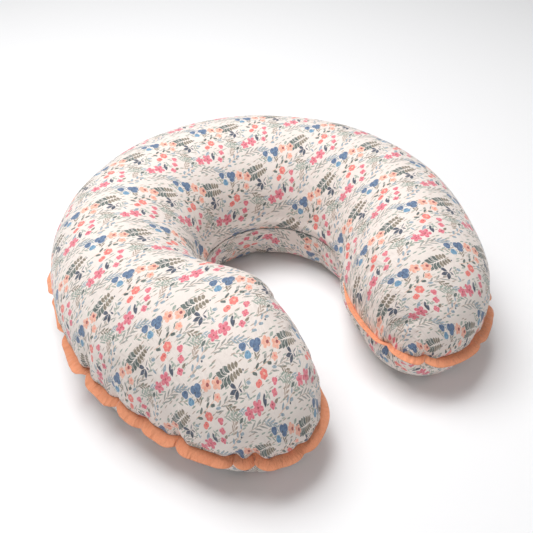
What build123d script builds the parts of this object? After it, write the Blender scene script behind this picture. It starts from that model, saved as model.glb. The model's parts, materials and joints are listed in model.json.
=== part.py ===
"""Nursing pillow: a U-shaped fibre pillow in a zipped two-panel cover with a flat flange.

Frame: millimetres, +Z up, +Y towards the closed back of the U, -Y towards its opening.
The origin is under the middle of the whole object, on the surface that it lies on.
"""

import os
from math import cos, degrees, radians, sin

from build123d import *

os.makedirs("parts", exist_ok=True)

# ---- Plan of the U: the inner seam is an arc, then a gentler arc along each arm ----
SEAM_RADIUS = 90.0          # radius of the inner seam round the waist
SEAM_ARC_HALF = 115.0       # degrees of that arc, each side of the back
ARM_RADIUS = 220.0          # radius of the inner seam along the arms
ARM_LENGTH = 118.0          # length of the inner seam along one arm
ARC_CENTRE_Y = -27.4         # where the waist arc has its centre
SEAM_HEIGHT = 68.0          # both seams lie at this height

# ---- Section of the pillow: an ellipse about the seam height, cut flat where it rests ----
BACK_HALF_WIDTH = 100.0
ARM_HALF_WIDTH = 91.0
HALF_HEIGHT = 104.0
END_HALF_HEIGHT = 92.0
TIP_LENGTH = 88.0           # the rounded end of each arm

# ---- Fabric, seams and filling ----
CLOTH = 1.0                 # modelled thickness of a cover panel
SEAM_HALF_GAP = 1.0         # each panel stops this far from the seam's mid plane
FLANGE_WIDTH = 18.0         # how far the flange stands out of the seam
FLANGE_HALF_THICKNESS = 0.9
SEAM_ALLOWANCE = 8.0        # how far the flange reaches into the cover
FLANGE_END_Y = -96.0        # the flange starts here on the inner side of each arm
CASING_SIDE_INSET = 11.0    # the casing stands back from the seams
CASING_TOP_INSET = 2.6
CASING_CLOTH = 0.8
CASING_HALF_GAP = 0.3
FILL_GAP = 0.5
THREAD = 0.5                # thickness of the sewing thread
THREAD_INSET = 4.0          # the outer seam's thread runs this far inside the outline
CLOSING_HALF_WIDTH = 60.0   # the casing is closed by hand along this much of its back

# ---- Zip along the inner seam, in distances outwards from the waist arc's axis ----
ZIP_HALF_ANGLE = 96.0
TAPE_RADIUS = SEAM_RADIUS + 2.6
TAPE_THICKNESS = 0.5
TAPE_WIDTH = 9.0
TAPE_EDGE = 1.3             # height of a tape's edge above or below the seam
COIL_RADIUS = SEAM_RADIUS + 4.3
COIL_WIRE = 1.0             # radius of the coil's outline
COIL_HEIGHT = 2.3           # height of a coil's middle above or below the seam
STOP_ANGLE = 2.0            # length of an end stop, in degrees

# ---- Slider and pull tab ----
SLIDER_REST_ANGLE = -89.0   # degrees from the back of the U, negative is the left arm
SLIDER_LENGTH = 10.0
PLATE = 1.2
FRONT_PLATE_RADIUS = SEAM_RADIUS - 1.0
FRONT_PLATE_HEIGHT = 8.0
BACK_PLATE_RADIUS = SEAM_RADIUS + 6.0
BACK_PLATE_HEIGHT = 9.4
RAIL = 0.8
RAIL_DEPTH = 2.0
NECK_LENGTH = 4.0
NECK_THICKNESS = 1.2
BRIDGE_LENGTH = 7.0
BRIDGE_RISE = 3.0
BRIDGE_WALL = 0.9
BRIDGE_WIDTH = 2.0
PIN_RADIUS = 0.45
PIN_REACH = 1.15            # from the front plate's face to the pin's middle
TAB_REST_TILT = 8.0         # degrees off the slider's face
TAB_LENGTH = 24.0
TAB_WIDTH = 7.0
TAB_THICKNESS = 1.0
TAB_EYE = 5.2
TAB_EYE_WIDTH = 2.9
TAB_HOLE = 1.5
TAB_HOLE_PLACE = 20.0       # from the pin to the hole in the tab's free end
TAB_CORNER = 2.0
PIN_END_COVER = 1.0         # the pin's ends lie this deep in the tab's sides

# ---- Labels ----
LABEL_CLOTH = 0.4
LABEL_LENGTH = 44.0
LABEL_WIDTH = 30.0

WAIST_SEAM = SEAM_RADIUS * radians(SEAM_ARC_HALF)
SEAM_HALF_LENGTH = WAIST_SEAM + ARM_LENGTH
WAIST_AXIS = Axis((0, ARC_CENTRE_Y, 0), (0, 0, 1))


def smooth_step(value):
    """0 below 0, 1 above 1, and a smooth S between."""
    clipped = min(max(value, 0.0), 1.0)
    return clipped * clipped * (3 - 2 * clipped)


def seam_point(run):
    """Place on the inner seam and its heading in degrees, run millimetres from the back."""
    side = 1 if run >= 0 else -1
    along = abs(run)
    waist_turn = min(along, WAIST_SEAM) / SEAM_RADIUS
    x = SEAM_RADIUS * sin(waist_turn)
    y = ARC_CENTRE_Y + SEAM_RADIUS * cos(waist_turn)
    turn = waist_turn
    if along > WAIST_SEAM:
        turn = waist_turn + (along - WAIST_SEAM) / ARM_RADIUS
        x += ARM_RADIUS * (sin(turn) - sin(waist_turn))
        y += ARM_RADIUS * (cos(turn) - cos(waist_turn))
    return side * x, y, side * degrees(turn)


def section_plane(run):
    """Plane across the U: its x points outwards and its y points up."""
    x, y, heading = seam_point(run)
    turn = radians(heading)
    return Plane(
        origin=(x, y, SEAM_HEIGHT),
        x_dir=(sin(turn), cos(turn), 0),
        z_dir=(cos(turn), -sin(turn), 0),
    )


def full_half_width(run):
    """Half width of the section before the arm's end is rounded."""
    share = abs(run) / SEAM_HALF_LENGTH
    return BACK_HALF_WIDTH + (ARM_HALF_WIDTH - BACK_HALF_WIDTH) * smooth_step(2 * share)


def full_half_height(run):
    """Half height of the section before the arm's end is rounded."""
    share = abs(run) / SEAM_HALF_LENGTH
    return HALF_HEIGHT + (END_HALF_HEIGHT - HALF_HEIGHT) * smooth_step(2 * share - 1)


def section_runs(side_inset):
    """Places along the seam where the form has a section: (run, rounding) pairs."""
    straight_end = SEAM_HALF_LENGTH - TIP_LENGTH
    tip = TIP_LENGTH - side_inset
    places = [(straight_end * step / 5, 1.0) for step in range(6)]
    for angle in (30, 52, 70, 84):
        places.append((straight_end + tip * sin(radians(angle)), cos(radians(angle))))
    mirrored = [(-run, rounding) for run, rounding in reversed(places[1:])]
    return mirrored + places


def pillow_form(side_inset, top_inset, floor):
    """The pillow's closed form, drawn in from its surface and cut flat at floor."""
    with BuildPart() as form:
        for run, rounding in section_runs(side_inset):
            width = (full_half_width(run) - side_inset) * rounding
            height = (full_half_height(run) - top_inset) * rounding
            with BuildSketch(section_plane(run)):
                with BuildLine():
                    middle = (full_half_width(run), 0)
                    EllipticalCenterArc(middle, width, height, 0, arc_size=180)
                    EllipticalCenterArc(middle, width, height, 180, arc_size=180)
                make_face()
        loft()
        split(bisect_by=Plane.XY.offset(floor), keep=Keep.TOP)
    return form.part


def slab(low, high):
    """A wide flat block between two heights, to cut other forms with."""
    with BuildPart() as block:
        with BuildSketch(Plane.XY.offset(low)):
            Rectangle(800, 800)
        extrude(amount=high - low)
    return block.part


def radial_plane(angle):
    """Plane through the waist arc's axis: x points outwards, y points up."""
    turn = radians(angle)
    return Plane(
        origin=(0, ARC_CENTRE_Y, SEAM_HEIGHT),
        x_dir=(sin(turn), cos(turn), 0),
        z_dir=(cos(turn), -sin(turn), 0),
    )


def flat_plane(angle):
    """Plane at the seam's height: x points outwards at that angle, z points up."""
    turn = radians(angle)
    return Plane(
        origin=(0, ARC_CENTRE_Y, SEAM_HEIGHT),
        x_dir=(sin(turn), cos(turn), 0),
        z_dir=(0, 0, 1),
    )


def save(built, label):
    """Label a finished piece and write it."""
    built.part.label = label
    export_step(built.part, f"parts/{label}.step")


# ================= Cover =================
cover_outside = pillow_form(0, 0, 0)
cover_inside = pillow_form(CLOTH, CLOTH, CLOTH)

with BuildPart() as cover_top_panel:
    add(cover_outside)
    add(cover_inside, mode=Mode.SUBTRACT)
    split(bisect_by=Plane.XY.offset(SEAM_HEIGHT + SEAM_HALF_GAP), keep=Keep.TOP)
save(cover_top_panel, "cover_top_panel")

with BuildPart() as cover_bottom_panel:
    add(cover_outside)
    add(cover_inside, mode=Mode.SUBTRACT)
    split(bisect_by=Plane.XY.offset(SEAM_HEIGHT - SEAM_HALF_GAP), keep=Keep.BOTTOM)
save(cover_bottom_panel, "cover_bottom_panel")


def flat_ring(outer_inset, inner_inset, low, high):
    """A flat band that follows the pillow's whole outline between two heights."""
    with BuildPart() as ring:
        add(pillow_form(outer_inset, 0, 0))
        add(pillow_form(inner_inset, 0, 0), mode=Mode.SUBTRACT)
        add(slab(SEAM_HEIGHT + low, SEAM_HEIGHT + high), mode=Mode.INTERSECT)
    return ring.part


def waist_block(edge_radius, low, high, end_y):
    """The waist opening out to edge_radius, behind end_y, between two heights."""
    with BuildPart() as block:
        with BuildSketch(Plane.XY.offset(SEAM_HEIGHT + low)):
            with Locations((0, ARC_CENTRE_Y)):
                Circle(edge_radius)
            with Locations((0, end_y)):
                Rectangle(4 * edge_radius, 2 * edge_radius, align=(Align.CENTER, Align.MAX),
                          mode=Mode.SUBTRACT)
        extrude(amount=high - low)
    return block.part


# The flange is a folded band in the outer seam; it stops on the inner side of each arm.
flange_cut_radius = SEAM_RADIUS + SEAM_ALLOWANCE + 8
with BuildPart() as flange_trim:
    add(flat_ring(-FLANGE_WIDTH, SEAM_ALLOWANCE, -FLANGE_HALF_THICKNESS, FLANGE_HALF_THICKNESS))
    add(waist_block(flange_cut_radius, -5, 5, FLANGE_END_Y), mode=Mode.SUBTRACT)
save(flange_trim, "flange_trim")

# Thread above and below the flange, just inside the cover.
thread_low = FLANGE_HALF_THICKNESS + 0.1
outer_thread = flat_ring(THREAD_INSET, THREAD_INSET + THREAD, thread_low, thread_low + THREAD)
lower_thread = mirror(outer_thread, about=Plane.XY.offset(SEAM_HEIGHT), mode=Mode.PRIVATE)
with BuildPart() as outer_seam_thread:
    add(outer_thread)
    add(lower_thread)
    add(waist_block(flange_cut_radius, -5, 5, FLANGE_END_Y), mode=Mode.SUBTRACT)
save(outer_seam_thread, "outer_seam_thread")

# Thread of the two plain stretches of inner seam, between the zip's ends and the flange's.
with BuildPart() as inner_seam_thread:
    add(flat_ring(THREAD_INSET, THREAD_INSET + THREAD, -THREAD / 2, THREAD / 2))
    add(waist_block(flange_cut_radius, -5, 5, FLANGE_END_Y + 1), mode=Mode.INTERSECT)
    with BuildSketch(Plane.XY.offset(SEAM_HEIGHT - 5)):
        with Locations((0, ARC_CENTRE_Y + 2 * SEAM_RADIUS * cos(radians(ZIP_HALF_ANGLE + 4)))):
            Rectangle(3 * SEAM_RADIUS, 4 * SEAM_RADIUS, align=(Align.CENTER, Align.MIN))
    extrude(amount=10, mode=Mode.SUBTRACT)
save(inner_seam_thread, "inner_seam_thread")

# ================= Zip =================
zip_span = 2 * ZIP_HALF_ANGLE


def zip_strip(low, high, inner, outer, start_angle, span):
    """A curved strip behind the inner seam, between two heights and two radii."""
    with BuildPart() as strip:
        with BuildSketch(radial_plane(start_angle + span)):
            with Locations(((inner + outer) / 2, (low + high) / 2)):
                Rectangle(outer - inner, high - low)
        revolve(axis=WAIST_AXIS, revolution_arc=span)
    return strip.part


def zip_coil(height):
    """One row of the zip's coil, as its round outline."""
    with BuildPart() as coil:
        with BuildSketch(radial_plane(ZIP_HALF_ANGLE - STOP_ANGLE)):
            with Locations((COIL_RADIUS, height)):
                Circle(COIL_WIRE)
        revolve(axis=WAIST_AXIS, revolution_arc=zip_span - 2 * STOP_ANGLE)
    return coil.part


tape_outer = TAPE_RADIUS + TAPE_THICKNESS
with BuildPart() as zip_tape_upper:
    add(zip_strip(TAPE_EDGE, TAPE_EDGE + TAPE_WIDTH, TAPE_RADIUS, tape_outer,
                  -ZIP_HALF_ANGLE, zip_span))
save(zip_tape_upper, "zip_tape_upper")

with BuildPart() as zip_tape_lower:
    add(zip_strip(-TAPE_EDGE - TAPE_WIDTH, -TAPE_EDGE, TAPE_RADIUS, tape_outer,
                  -ZIP_HALF_ANGLE, zip_span))
save(zip_tape_lower, "zip_tape_lower")

with BuildPart() as zip_coil_upper:
    add(zip_coil(COIL_HEIGHT))
save(zip_coil_upper, "zip_coil_upper")

with BuildPart() as zip_coil_lower:
    add(zip_coil(-COIL_HEIGHT))
save(zip_coil_lower, "zip_coil_lower")

# Two metal top stops at the closed end, one wide bottom stop at the other.
stop_inner = COIL_RADIUS - COIL_WIRE
stop_outer = COIL_RADIUS + COIL_WIRE
stop_low = COIL_HEIGHT - COIL_WIRE
stop_high = COIL_HEIGHT + COIL_WIRE
stop_span = STOP_ANGLE - 0.2
with BuildPart() as zip_top_stops:
    for low in (stop_low, -stop_high):
        add(zip_strip(low, low + 2 * COIL_WIRE, stop_inner, stop_outer, -ZIP_HALF_ANGLE, stop_span))
save(zip_top_stops, "zip_top_stops")

with BuildPart() as zip_bottom_stop:
    add(zip_strip(-stop_high, stop_high, stop_inner, stop_outer,
                  ZIP_HALF_ANGLE - stop_span, stop_span))
save(zip_bottom_stop, "zip_bottom_stop")

# A running stitch holds each tape, seen here on the tape's hidden face.
stitch_height = TAPE_EDGE + 0.75 * TAPE_WIDTH
stitch_inner = tape_outer + 0.1
with BuildPart() as zip_tape_thread:
    for height in (stitch_height, -stitch_height):
        add(zip_strip(height - THREAD / 2, height + THREAD / 2, stitch_inner,
                      stitch_inner + THREAD, -ZIP_HALF_ANGLE + 1, zip_span - 2))
save(zip_tape_thread, "zip_tape_thread")

# ================= Slider and pull tab =================
slider_plane = flat_plane(SLIDER_REST_ANGLE)
front_face = FRONT_PLATE_RADIUS - PLATE
pin_radius_place = front_face - PIN_REACH
neck_span = BACK_PLATE_RADIUS - FRONT_PLATE_RADIUS

with BuildPart() as zip_slider:
    with BuildSketch(slider_plane.offset(-FRONT_PLATE_HEIGHT / 2)):
        with Locations((FRONT_PLATE_RADIUS - PLATE / 2, 0)):
            Rectangle(PLATE, SLIDER_LENGTH)
    extrude(amount=FRONT_PLATE_HEIGHT)
    with BuildSketch(slider_plane.offset(-NECK_THICKNESS / 2)):
        with Locations((FRONT_PLATE_RADIUS + neck_span / 2, 0)):
            Rectangle(neck_span, NECK_LENGTH)
    extrude(amount=NECK_THICKNESS)
    with BuildSketch(slider_plane.offset(-BACK_PLATE_HEIGHT / 2)):
        with Locations((BACK_PLATE_RADIUS + PLATE / 2, 0)):
            Rectangle(PLATE, SLIDER_LENGTH)
    extrude(amount=BACK_PLATE_HEIGHT)
    for rail_low in (-BACK_PLATE_HEIGHT / 2, BACK_PLATE_HEIGHT / 2 - RAIL):
        with BuildSketch(slider_plane.offset(rail_low)):
            with Locations((BACK_PLATE_RADIUS - RAIL_DEPTH / 2, 0)):
                Rectangle(RAIL_DEPTH, SLIDER_LENGTH)
        extrude(amount=RAIL)
    with BuildSketch(slider_plane.offset(-BRIDGE_WIDTH / 2)):
        with Locations((front_face - BRIDGE_RISE / 2, 0)):
            Rectangle(BRIDGE_RISE, BRIDGE_LENGTH)
        with Locations((front_face - (BRIDGE_RISE - BRIDGE_WALL) / 2, 0)):
            Rectangle(BRIDGE_RISE - BRIDGE_WALL, BRIDGE_LENGTH - 2 * BRIDGE_WALL,
                      mode=Mode.SUBTRACT)
    extrude(amount=BRIDGE_WIDTH)
save(zip_slider, "zip_slider")

# The tab lies along the chain towards the arm's end, tilted off the slider's face.
rest_turn = radians(SLIDER_REST_ANGLE)
pin_x = pin_radius_place * sin(rest_turn)
pin_y = ARC_CENTRE_Y + pin_radius_place * cos(rest_turn)
tab_turn = rest_turn - radians(90 + TAB_REST_TILT)
tab_plane = Plane(
    origin=(pin_x, pin_y, SEAM_HEIGHT),
    x_dir=(sin(tab_turn), cos(tab_turn), 0),
    z_dir=(cos(tab_turn), -sin(tab_turn), 0),
)

with BuildPart() as zip_pull_tab:
    with BuildSketch(tab_plane.offset(-TAB_THICKNESS / 2)):
        with Locations((TAB_LENGTH / 2 - PIN_RADIUS, 0)):
            RectangleRounded(TAB_LENGTH, TAB_WIDTH, TAB_CORNER)
        with Locations((TAB_EYE / 2, 0)):
            Rectangle(TAB_EYE, TAB_EYE_WIDTH, mode=Mode.SUBTRACT)
        with Locations((TAB_HOLE_PLACE, 0)):
            Circle(TAB_HOLE, mode=Mode.SUBTRACT)
    extrude(amount=TAB_THICKNESS)
    with BuildSketch(Plane.XY.offset(SEAM_HEIGHT - TAB_WIDTH / 2 + PIN_END_COVER)):
        with Locations((pin_x, pin_y)):
            Circle(PIN_RADIUS)
    extrude(amount=TAB_WIDTH - 2 * PIN_END_COVER)
save(zip_pull_tab, "zip_pull_tab")

# ================= Casing and filling =================
casing_outside = pillow_form(CASING_SIDE_INSET, CASING_TOP_INSET, CASING_TOP_INSET)
casing_inset = CASING_TOP_INSET + CASING_CLOTH
casing_inside = pillow_form(CASING_SIDE_INSET + CASING_CLOTH, casing_inset, casing_inset)

with BuildPart() as casing_top:
    add(casing_outside)
    add(casing_inside, mode=Mode.SUBTRACT)
    split(bisect_by=Plane.XY.offset(SEAM_HEIGHT + CASING_HALF_GAP), keep=Keep.TOP)
save(casing_top, "casing_top")

with BuildPart() as casing_bottom:
    add(casing_outside)
    add(casing_inside, mode=Mode.SUBTRACT)
    split(bisect_by=Plane.XY.offset(SEAM_HEIGHT - CASING_HALF_GAP), keep=Keep.BOTTOM)
save(casing_bottom, "casing_bottom")

fill_side = CASING_SIDE_INSET + CASING_CLOTH + FILL_GAP
fill_top = casing_inset + FILL_GAP
with BuildPart() as fibre_fill:
    add(pillow_form(fill_side, fill_top, fill_top))
save(fibre_fill, "fibre_fill")

# The casing's seam is one thread round its outline, left open where it was filled.
casing_thread_inset = CASING_SIDE_INSET - 0.1 - THREAD
closing_y = ARC_CENTRE_Y + SEAM_RADIUS + BACK_HALF_WIDTH
with BuildPart() as casing_seam_thread:
    add(flat_ring(casing_thread_inset, CASING_SIDE_INSET - 0.1, -THREAD, THREAD))
    with BuildSketch(Plane.XY.offset(SEAM_HEIGHT - 5)):
        with Locations((0, closing_y)):
            Rectangle(2 * CLOSING_HALF_WIDTH, 2 * BACK_HALF_WIDTH,
                      align=(Align.CENTER, Align.MIN))
    extrude(amount=10, mode=Mode.SUBTRACT)
save(casing_seam_thread, "casing_seam_thread")

# Hand stitches across that opening, each a short bar against the casing's outer edge.
CLOSING_STITCHES = 12
closing_radius = SEAM_RADIUS + 2 * BACK_HALF_WIDTH - casing_thread_inset
closing_step = 2 * degrees(CLOSING_HALF_WIDTH / closing_radius) / CLOSING_STITCHES
with BuildPart() as casing_closing_stitches:
    for index in range(CLOSING_STITCHES):
        angle = (index + 0.5 - CLOSING_STITCHES / 2) * closing_step
        stitch_place = flat_plane(angle)
        with BuildSketch(stitch_place.offset(-2)):
            with Locations((closing_radius + THREAD, 0)):
                Rectangle(THREAD, THREAD)
        extrude(amount=4)
save(casing_closing_stitches, "casing_closing_stitches")


# ================= Labels =================
def label_patch(outer_inset, angle, edge_radius):
    """A blank label lying on the filled form, above the outer seam."""
    with BuildPart() as patch:
        with BuildSketch(flat_plane(angle).offset(6)):
            with Locations((edge_radius, 0)):
                Rectangle(LABEL_LENGTH, LABEL_WIDTH)
        extrude(amount=200)
        add(pillow_form(CASING_SIDE_INSET * 0.5 + outer_inset, outer_inset, 0), mode=Mode.INTERSECT)
        inner_inset = outer_inset + LABEL_CLOTH
        add(pillow_form(CASING_SIDE_INSET * 0.5 + inner_inset, inner_inset, 0), mode=Mode.SUBTRACT)
    return patch.part


label_radius = SEAM_RADIUS + 2 * ARM_HALF_WIDTH - LABEL_LENGTH / 2
with BuildPart() as law_label:
    add(label_patch(CLOTH + 0.8, 60, label_radius))
save(law_label, "law_label")

with BuildPart() as care_label:
    add(label_patch(CLOTH + 0.3, -60, label_radius))
save(care_label, "care_label")
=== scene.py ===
"""Looks of the nursing pillow: printed cover, pleated flange, zip, casing and filling.

Shapes are worked out in millimetres in the CAD's frame and written in metres.
"""

import json
import math

import bpy
import numpy as np
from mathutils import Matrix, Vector, noise


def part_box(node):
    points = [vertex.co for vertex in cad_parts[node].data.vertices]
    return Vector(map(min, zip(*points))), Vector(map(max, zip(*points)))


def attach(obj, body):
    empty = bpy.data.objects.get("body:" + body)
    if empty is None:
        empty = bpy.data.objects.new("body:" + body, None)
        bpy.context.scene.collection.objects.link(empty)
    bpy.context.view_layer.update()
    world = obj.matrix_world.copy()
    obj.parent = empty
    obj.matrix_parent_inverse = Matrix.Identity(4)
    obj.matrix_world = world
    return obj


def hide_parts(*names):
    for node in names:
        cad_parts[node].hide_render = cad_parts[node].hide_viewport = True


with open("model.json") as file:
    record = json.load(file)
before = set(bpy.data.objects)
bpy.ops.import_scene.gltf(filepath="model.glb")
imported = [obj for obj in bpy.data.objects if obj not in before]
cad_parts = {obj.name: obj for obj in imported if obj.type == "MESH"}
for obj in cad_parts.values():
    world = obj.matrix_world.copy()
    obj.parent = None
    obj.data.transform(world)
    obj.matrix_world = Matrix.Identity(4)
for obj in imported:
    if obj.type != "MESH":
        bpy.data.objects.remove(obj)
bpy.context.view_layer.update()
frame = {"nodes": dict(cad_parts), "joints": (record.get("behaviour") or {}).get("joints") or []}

# ======================================================================
# Places taken from the frame
# ======================================================================
MM = 0.001
JOINTS = {joint["name"]: joint for joint in frame["joints"]}
_, WAIST_Y, SEAM_Z = (value / MM for value in JOINTS["zip_travel"]["pos_m"])
TAPE_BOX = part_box("zip_tape_upper")
COIL_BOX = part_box("zip_coil_upper")
TAPE_RADIUS = TAPE_BOX[1].x / MM - 0.5
COIL_RADIUS = COIL_BOX[1].x / MM - 1.0
COIL_HEIGHT = (COIL_BOX[0].z + COIL_BOX[1].z) / 2 / MM - SEAM_Z
SEAM_RADIUS = TAPE_RADIUS - 2.6

# ======================================================================
# Shape of the filled pillow
# ======================================================================
WAIST_HALF_ANGLE = math.radians(115)
WAIST_RUN = SEAM_RADIUS * WAIST_HALF_ANGLE
ZIP_HALF_ANGLE = 96.0
ZIP_CALM_REACH = 14.0
OVERHANG = 26.0
OVERHANG_RUN = 205.0
OVERHANG_SPREAD = 58.0
OVERHANG_RISE = 78.0
OVERHANG_REACH = 42.0
ZIP_INSET = 0.7
SEAM_OPENING = 0.9
FLANGE_START_Y = -96.0
SECTION_POWER = 0.441
BACK_HALF_WIDTH = 99.4
BACK_HALF_HEIGHT = 104.0
RIGHT_ARM = {
    "side": 1,
    "curvature": 0.0050,
    "length": 114.0,
    "widths": (92.0, 89.0, 93.0),
    "heights": (103.0, 98.0, 94.0),
    "tip_length": 87.0,
    "tip_power": 0.467,
    "sag": 9.0,
    "dip": 0.0,
}
LEFT_ARM = {
    "side": -1,
    "curvature": 0.0044,
    "length": 113.0,
    "widths": (93.0, 88.0, 102.0),
    "heights": (104.0, 96.0, 88.0),
    "tip_length": 84.0,
    "tip_power": 0.475,
    "sag": 13.0,
    "dip": 6.0,
}
DIP_PART = 0.72
DIP_SPREAD = 0.12
ARM_STATIONS = 190
PANEL_ROWS = 64
FLOOR_SOFTNESS = 5.0

# Tucks in the outer seam: (distance from the middle of the back, depth, slant).
# Positive distances go round the right arm, negative ones round the left arm.
TUCKS = (
    (-740, 2.0, 0.2),
    (-691, 6.5, 0.1),
    (-671, 4.4, -0.3),
    (-605, 4.2, 0.3),
    (-560, 2.0, -0.2),
    (-521, 4.0, 0.3),
    (-465, 5.5, -0.2),
    (-395, 4.6, 0.2),
    (-326, 4.6, 0.2),
    (-240, 2.5, -0.2),
    (-120, 3.0, 0.1),
    (40, 2.0, -0.1),
    (150, 3.0, 0.2),
    (285, 2.5, -0.2),
    (395, 3.0, 0.2),
    (500, 2.2, -0.2),
    (590, 3.0, 0.2),
    (640, 5.0, 0.1),
    (712, 2.0, -0.2),
    (787, 4.5, 0.2),
    (832, 3.5, -0.2),
)
TUCK_HALF_WIDTH = 6.5
TUCK_REACH = 24.0
# How deep the cloth moves near its seams, and how far from them.
PINCH, PINCH_REACH = 2.2, 11.0
GATHER_DEPTH, GATHER_REACH = 2.0, 46.0
RIPPLE_DEPTH, RIPPLE_REACH = 1.7, 34.0


def smooth_step(value):
    """0 below 0, 1 above 1, and a smooth S between."""
    clipped = np.clip(value, 0.0, 1.0)
    return clipped * clipped * (3 - 2 * clipped)


def smooth_curve(places, knots, values):
    """A smooth curve through a few values, level at its first knot."""
    knots = np.array(knots, float)
    values = np.array(values, float)
    slopes = np.gradient(values, knots)
    slopes[0] = 0.0
    index = np.clip(np.searchsorted(knots, places) - 1, 0, len(knots) - 2)
    span = knots[index + 1] - knots[index]
    t = np.clip((places - knots[index]) / span, 0, 1)
    start, end = values[index], values[index + 1]
    rise_start, rise_end = slopes[index] * span, slopes[index + 1] * span
    squared, cubed = t * t, t * t * t
    return (
        (2 * cubed - 3 * squared + 1) * start
        + (cubed - 2 * squared + t) * rise_start
        + (3 * squared - 2 * cubed) * end
        + (cubed - squared) * rise_end
    )


def running_total(steps):
    """Cumulative sum that starts at zero."""
    return np.concatenate([[0.0], np.cumsum(steps)])


class Spine:
    """Inner seam of one arm, from the middle of the back to the arm's end."""

    def __init__(self, arm):
        self.length = WAIST_RUN + arm["length"]
        self.run = np.arange(0.0, self.length + 200.0, 0.5)
        arm_share = smooth_step((self.run - WAIST_RUN + 8) / 16)
        bend = (1 - arm_share) / SEAM_RADIUS + arm_share * arm["curvature"]
        steps = np.diff(self.run)
        self.turn = running_total((bend[1:] + bend[:-1]) / 2 * steps)
        middle_turn = (self.turn[1:] + self.turn[:-1]) / 2
        self.x = running_total(np.cos(middle_turn) * steps)
        self.y = WAIST_Y + SEAM_RADIUS - running_total(np.sin(middle_turn) * steps)

    def at(self, run):
        """x, y and heading at distances along the seam, for the right-hand side."""
        x = np.interp(run, self.run, self.x)
        y = np.interp(run, self.run, self.y)
        return x, y, np.interp(run, self.run, self.turn)


def half_sections(arm, side_inset, top_inset):
    """Sections from the middle of the back to one arm's end, as arrays by station."""
    spine = Spine(arm)
    share = np.linspace(0, 1, ARM_STATIONS + 1)
    run = (spine.length - side_inset) * (1 - (1 - share) ** 1.5)
    part = run / spine.length
    width = smooth_curve(part, (0, 0.33, 0.66, 1), (BACK_HALF_WIDTH,) + arm["widths"])
    height = smooth_curve(part, (0, 0.5, 0.8, 1), (BACK_HALF_HEIGHT,) + arm["heights"])
    tip_length = arm["tip_length"]
    tip_start = spine.length - tip_length
    into_tip = np.clip((run - tip_start) / (tip_length - side_inset), 0, 1)
    inside = np.clip(1 - into_tip * into_tip, 0, 1)
    x, y, turn = spine.at(run)
    return {
        "spine": spine,
        "run": run,
        "width": (width - side_inset) * inside ** arm["tip_power"],
        "height": (height - top_inset) * inside**SECTION_POWER,
        "centre_x": arm["side"] * (x + np.sin(turn) * width),
        "centre_y": y + np.cos(turn) * width,
        "out_x": arm["side"] * np.sin(turn),
        "out_y": np.cos(turn),
        "side": np.full(len(run), float(arm["side"])),
        "outer_sag": arm["sag"] * smooth_step((part - 0.25) / 0.4)
        + arm["dip"] * np.exp(-(((part - DIP_PART) / DIP_SPREAD) ** 2)),
        "inner_sag": arm["sag"] * into_tip**4,
    }


def all_sections(side_inset, top_inset):
    """Every section from the left arm's end to the right arm's end."""
    left = half_sections(LEFT_ARM, side_inset, top_inset)
    right = half_sections(RIGHT_ARM, side_inset, top_inset)
    joined = {}
    for key, values in right.items():
        if key != "spine":
            joined[key] = np.concatenate([left[key][:0:-1], values])
    joined["spines"] = (left["spine"], right["spine"])
    return joined


def level_outward(sections):
    """The level direction away from the waist at each section, to set beside a panel's points."""
    return np.stack([sections["out_x"], sections["out_y"]], axis=1)[:, None, :]


def row_shares():
    """Places of the rows across a panel, closer together near both seams."""
    even = np.linspace(0, 1, PANEL_ROWS + 1)
    return 0.55 * even + 0.45 * (0.5 - 0.5 * np.cos(math.pi * even))


def panel_grid(sections, upper, floor):
    """Points of one panel, (stations, rows, 3), and distances across it from the inner seam."""
    angle = np.linspace(0, math.pi, 161)
    across = -np.cos(angle)
    rise = np.sin(angle) ** (2 * SECTION_POWER)
    outer_share = ((1 + across) / 2) ** 2
    shares = row_shares()
    count = len(sections["run"])
    points = np.zeros((count, PANEL_ROWS + 1, 3))
    distances = np.zeros((count, PANEL_ROWS + 1))
    for index in range(count):
        offset = sections["width"][index] * across
        level = sections["height"][index] * rise
        inner_sag, outer_sag = sections["inner_sag"][index], sections["outer_sag"][index]
        seam_z = SEAM_Z - inner_sag - (outer_sag - inner_sag) * outer_share
        if upper:
            z = seam_z + level
        else:
            above = seam_z - level - floor
            z = floor + 0.5 * (above + np.sqrt(above * above + FLOOR_SOFTNESS**2))
            z -= (z - seam_z) * (1 - rise) ** 2
        along = running_total(np.hypot(np.diff(offset), np.diff(z)))
        wanted = shares * along[-1]
        placed = np.interp(wanted, along, offset)
        points[index, :, 0] = sections["centre_x"][index] + sections["out_x"][index] * placed
        points[index, :, 1] = sections["centre_y"][index] + sections["out_y"][index] * placed
        points[index, :, 2] = np.interp(wanted, along, z)
        distances[index] = wanted
    return points, distances


def grid_normals(points, upper):
    """Unit normals of a panel's grid, pointing out of the pillow."""
    along = np.gradient(points, axis=0)
    across = np.gradient(points, axis=1)
    normal = np.cross(along, across)
    if not upper:
        normal = -normal
    length = np.linalg.norm(normal, axis=-1, keepdims=True)
    normal = normal / np.maximum(length, 1e-9)
    for end, inner in ((0, 1), (-1, -2)):
        mean = normal[inner].mean(0)
        normal[end] = mean / max(np.linalg.norm(mean), 1e-9)
    return normal


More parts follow.
